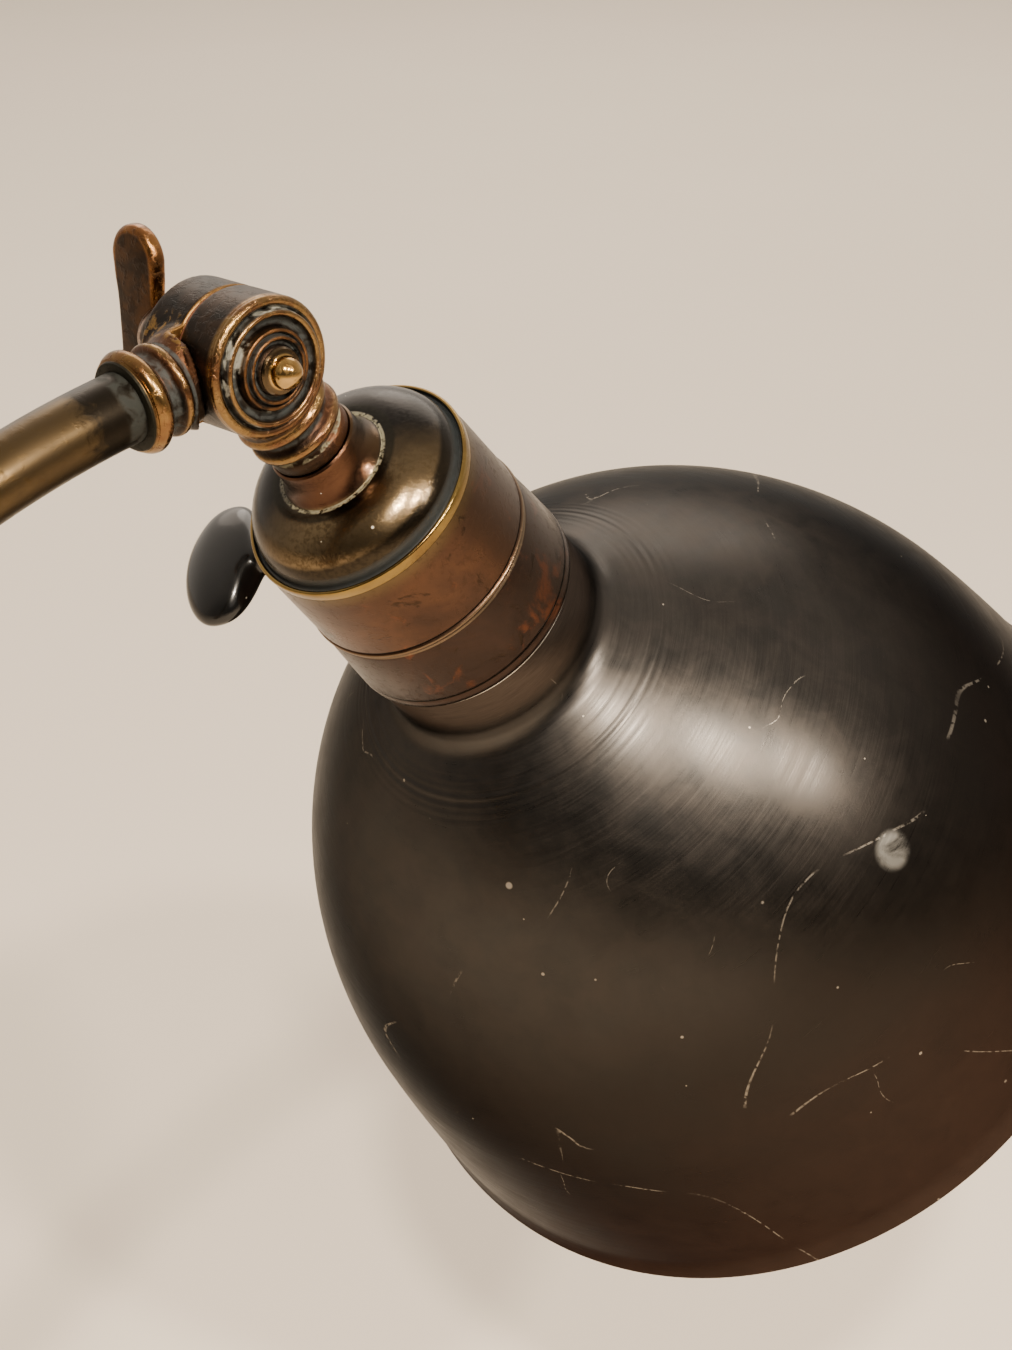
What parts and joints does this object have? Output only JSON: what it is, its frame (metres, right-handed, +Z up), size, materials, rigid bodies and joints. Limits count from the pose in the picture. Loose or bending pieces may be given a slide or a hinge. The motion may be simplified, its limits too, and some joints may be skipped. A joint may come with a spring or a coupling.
{
  "type": "swing arm wall sconce",
  "caption": "Wall lamp with an S-curved tube arm that swings and a domed metal shade that tilts, each on a hand-tightened barrel knuckle, with a key-switch bulb holder.",
  "frame": {"origin": "centre of the wall plate's back face, on the wall", "axes": "+Y into the wall along the plate's axis, +Z up, the arm reaches out along -Y at rest"},
  "size_m": [0.169, 0.4942, 0.2197],
  "materials": {
    "plate_brass": "aged dark brass, worn brighter on the edges",
    "plain_brass": "plain turned brass, lightly tarnished",
    "porcelain": "off-white glazed porcelain",
    "tube_brass": "satin olive-brown brass",
    "ring_brass": "worn copper-gold brass with dark grooves",
    "barrel_bronze": "near-black brown patina, gold where it is worn",
    "button_brass": "polished brass button",
    "wing_brass": "copper-brown patina with bright edges",
    "fibre": "vulcanised fibre",
    "flex": "cotton-braided flex",
    "cap_brass": "black-olive patina going gold towards the lip",
    "body_brass": "copper-brown brass with dark stains",
    "skirt_brass": "copper-brown brass with reddish patches",
    "black_key": "glossy black moulding",
    "shade_black": "black satin over spun metal, brown towards the rim, scratched",
    "bulb_metal": "pressed aluminium",
    "bulb_glass": "clear blown glass",
    "clear_glass": "clear glass",
    "filament_metal": "drawn wire"
  },
  "bodies": {
    "bracket": {"wall_plate": "plate_brass", "stem_locknut": "plain_brass", "terminal_block": "porcelain", "terminal_screws": "plain_brass", "earth_screw": "plain_brass", "bracket_tube": "tube_brass", "bracket_ferrule": "ring_brass", "fixed_barrel": "barrel_bronze", "swing_bolt": "button_brass", "swing_washer": "fibre", "bracket_lead": "flex"},
    "swing_nut": {"swing_wing_nut": "wing_brass"},
    "arm": {"arm_base_barrel": "barrel_bronze", "arm_base_ferrule": "ring_brass", "arm_tube": "tube_brass", "arm_lead": "flex", "arm_head_ferrule": "ring_brass", "arm_head_barrel": "barrel_bronze", "head_bolt": "button_brass", "head_washer": "fibre"},
    "head_nut": {"head_wing_nut": "wing_brass"},
    "lamp_head": {"lamp_barrel": "barrel_bronze", "lamp_nipple": "plain_brass", "holder_cap": "cap_brass", "holder_body": "body_brass", "holder_skirt": "skirt_brass", "switch_block": "porcelain", "contact_screws": "plain_brass", "screw_shell": "plain_brass", "centre_contact": "plain_brass", "head_lead": "flex", "shade_ring": "plain_brass", "shade": "shade_black", "bulb_cap": "bulb_metal", "bulb_glass": "bulb_glass", "bulb_mount": "clear_glass", "bulb_filament": "filament_metal"},
    "switch": {"switch_spindle": "plain_brass", "switch_key": "black_key"}
  },
  "joints": [
    {"name": "arm_swing", "type": "hinge", "parent": "bracket", "child": "arm", "pos_m": [0, -0.058, 0], "axis": [0, 0, 1], "range_deg": [-80, 80]},
    {"name": "swing_nut_turn", "type": "hinge", "parent": "bracket", "child": "swing_nut", "pos_m": [0, -0.058, 0], "axis": [0, 0, -1], "range_deg": [0, 180]},
    {"name": "head_tilt", "type": "hinge", "parent": "arm", "child": "lamp_head", "pos_m": [0, -0.30096, 0.12233], "axis": [1, 0, 0], "range_deg": [-90, 30]},
    {"name": "head_nut_turn", "type": "hinge", "parent": "arm", "child": "head_nut", "pos_m": [0, -0.30096, 0.12233], "axis": [1, 0, 0], "range_deg": [0, 180]},
    {"name": "key_turn", "type": "hinge", "parent": "lamp_head", "child": "switch", "pos_m": [0, -0.33138, 0.08783], "axis": [0.8387, 0.4085, -0.3602], "continuous": true}
  ]
}
